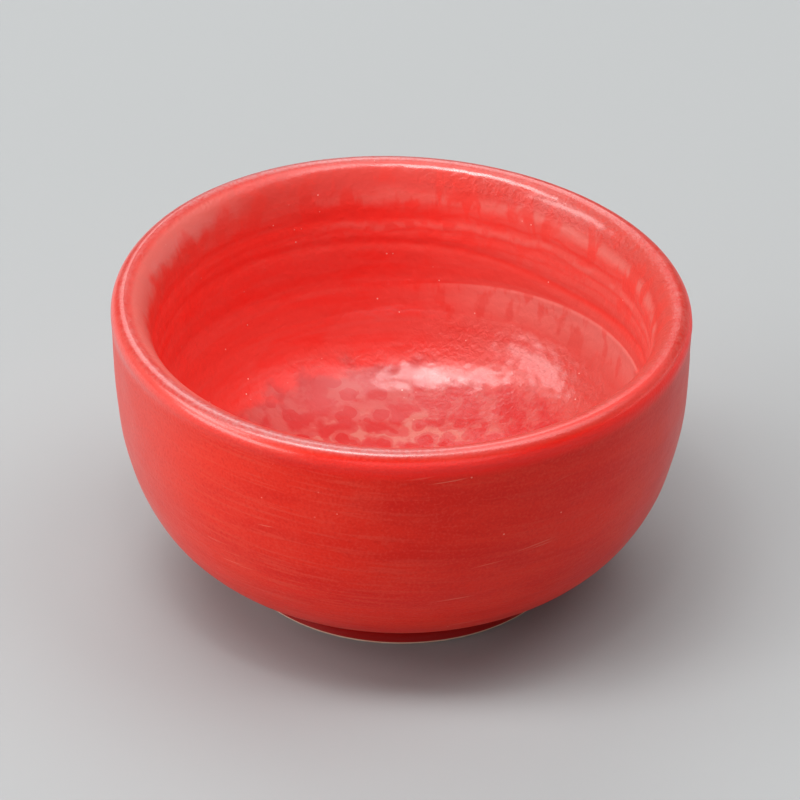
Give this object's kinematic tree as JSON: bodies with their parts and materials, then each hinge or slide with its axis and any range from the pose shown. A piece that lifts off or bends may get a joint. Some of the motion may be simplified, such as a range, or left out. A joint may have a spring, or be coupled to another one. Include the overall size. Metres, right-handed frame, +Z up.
{
  "type": "sake cup",
  "caption": "Wide hand-thrown stoneware sake cup with a rolled lip, rounded bowl and turned foot ring, red glaze pooled and mottled inside and wheel-streaked outside.",
  "frame": {"origin": "centre of the foot ring's resting face", "axes": "+Z up out of the bowl, along the cup's turning axis; the picture looks along +Y with +X to its right"},
  "size_m": [0.07, 0.07, 0.0375],
  "materials": {
    "clay": "bare fired stoneware, matte, cream to pink",
    "outer_glaze": "semi-gloss red glaze with fine streaks that run round the wall",
    "inner_glaze": "glossy red glaze, mottled with paler pink, with fine orange-peel relief",
    "foot_well_glaze": "semi-gloss dark red glaze"
  },
  "bodies": {
    "root": {"clay_body": "clay", "outer_glaze": "outer_glaze", "inner_glaze": "inner_glaze", "foot_well_glaze": "foot_well_glaze"}
  },
  "joints": []
}
